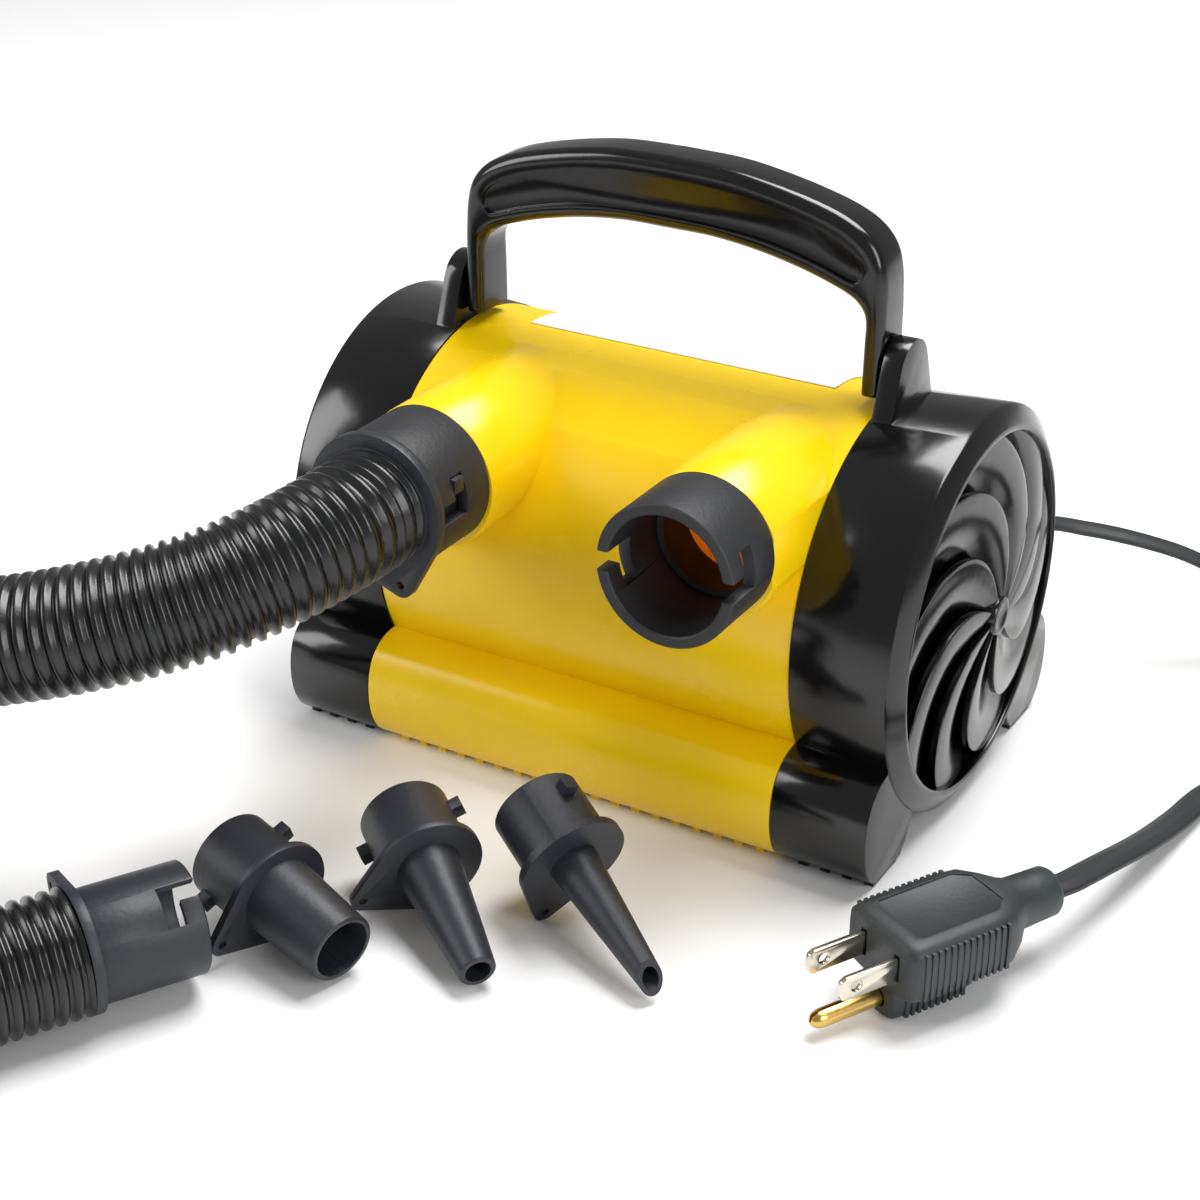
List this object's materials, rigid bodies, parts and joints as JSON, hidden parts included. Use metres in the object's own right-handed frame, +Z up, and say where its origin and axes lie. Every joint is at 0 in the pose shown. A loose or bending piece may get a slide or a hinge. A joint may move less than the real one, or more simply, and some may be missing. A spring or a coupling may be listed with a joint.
{
  "type": "electric air mattress pump",
  "caption": "Mains inflator with a barrel body, louvred end caps, folding carry handle, two bayonet air ports, corrugated hose, loose nozzles, and a cord with a three-pin plug.",
  "frame": {"origin": "on the floor, straight below the middle of the barrel", "axes": "+X along the barrel towards the end with the mains cord, -Y the way the two air ports face, +Z up towards the handle"},
  "size_m": [0.5674, 0.5586, 0.1684],
  "materials": {
    "yellow_shell": "glossy moulded ABS, bright yellow",
    "black_cap": "glossy moulded ABS, black",
    "handle_black": "glossy moulded ABS, black",
    "port_black": "fine matte moulded plastic, charcoal",
    "amber_guard": "translucent-looking amber moulded plastic",
    "label_white": "plain blank adhesive label",
    "switch_black": "glossy switch plastic",
    "hose_black": "glossy corrugated flexible plastic",
    "fitting_black": "matte blue-black moulded plastic",
    "lead_black": "matte dark grey-green PVC",
    "plug_black": "matte dark grey-green PVC",
    "nickel": "nickel plated brass blades",
    "brass": "bright brass",
    "steel": "ground steel",
    "copper": null,
    "iron": "stacked electrical steel laminations",
    "carbon": "carbon brush",
    "white_plastic": "natural nylon"
  },
  "bodies": {
    "pump": {"shell": "yellow_shell", "cap_left": "black_cap", "cap_right": "black_cap", "handle_pin_right": "steel", "handle_pin_left": "steel", "port_collar_right": "port_black", "port_collar_left": "port_black", "port_guard_right": "amber_guard", "port_guard_left": "amber_guard", "label": "label_white", "switch_frame": "switch_black", "hose_cuff": "fitting_black", "hose": "hose_black", "strain_relief": "lead_black", "cord_upper": "lead_black", "cord_coil": "lead_black", "cord_lower": "lead_black", "plug_body": "plug_black", "blade_line": "nickel", "blade_neutral": "nickel", "earth_pin": "brass", "stator_core": "iron", "field_coil_upper": "copper", "field_coil_lower": "copper", "bracket_left": "steel", "bracket_right": "steel", "bearing_left": "steel", "bearing_right": "steel", "motor_bolt_1": "steel", "motor_bolt_2": "steel", "motor_bolt_3": "steel", "motor_bolt_4": "steel", "carbon_brush_front": "carbon", "carbon_brush_rear": "carbon", "brush_holder_front": "brass", "brush_holder_rear": "brass", "divider_plate": "white_plastic", "back_plate": "white_plastic", "volute": "white_plastic"},
    "handle": {"handle": "handle_black"},
    "rotor": {"motor_shaft": "steel", "armature_core": "iron", "armature_winding_rear": "copper", "armature_winding_front": "copper", "commutator": "copper", "impeller": "white_plastic", "impeller_nut": "steel", "cooling_fan": "white_plastic"},
    "coupling": {"hose_coupling": "fitting_black"},
    "switch": {"switch_rocker": "switch_black"},
    "wide_nozzle": {"nozzle_wide": "fitting_black"},
    "taper_nozzle": {"nozzle_taper": "fitting_black"},
    "fine_nozzle": {"nozzle_fine": "fitting_black"}
  },
  "joints": [
    {"name": "handle_fold", "type": "hinge", "parent": "pump", "child": "handle", "pos_m": [0, 0, 0.122], "axis": [1, 0, 0], "range_deg": [-100, 75]},
    {"name": "rotor_spin", "type": "hinge", "parent": "pump", "child": "rotor", "pos_m": [0, 0, 0.0574], "axis": [1, 0, 0], "continuous": true},
    {"name": "coupling_twist", "type": "hinge", "parent": "pump", "child": "coupling", "pos_m": [-0.0375, -0.08, 0.093], "axis": [0, 1, 0], "range_deg": [0, 15]},
    {"name": "switch_press", "type": "hinge", "parent": "pump", "child": "switch", "pos_m": [0, 0.0568, 0.0574], "axis": [1, 0, 0], "range_deg": [0, 8]},
    {"name": "wide_nozzle_lift", "type": "slide", "parent": "pump", "child": "wide_nozzle", "axis": [0, 0, 1], "range_m": [0, 0.04]},
    {"name": "taper_nozzle_lift", "type": "slide", "parent": "pump", "child": "taper_nozzle", "axis": [0, 0, 1], "range_m": [0, 0.08]},
    {"name": "fine_nozzle_lift", "type": "slide", "parent": "pump", "child": "fine_nozzle", "axis": [0, 0, 1], "range_m": [0, 0.08]}
  ]
}
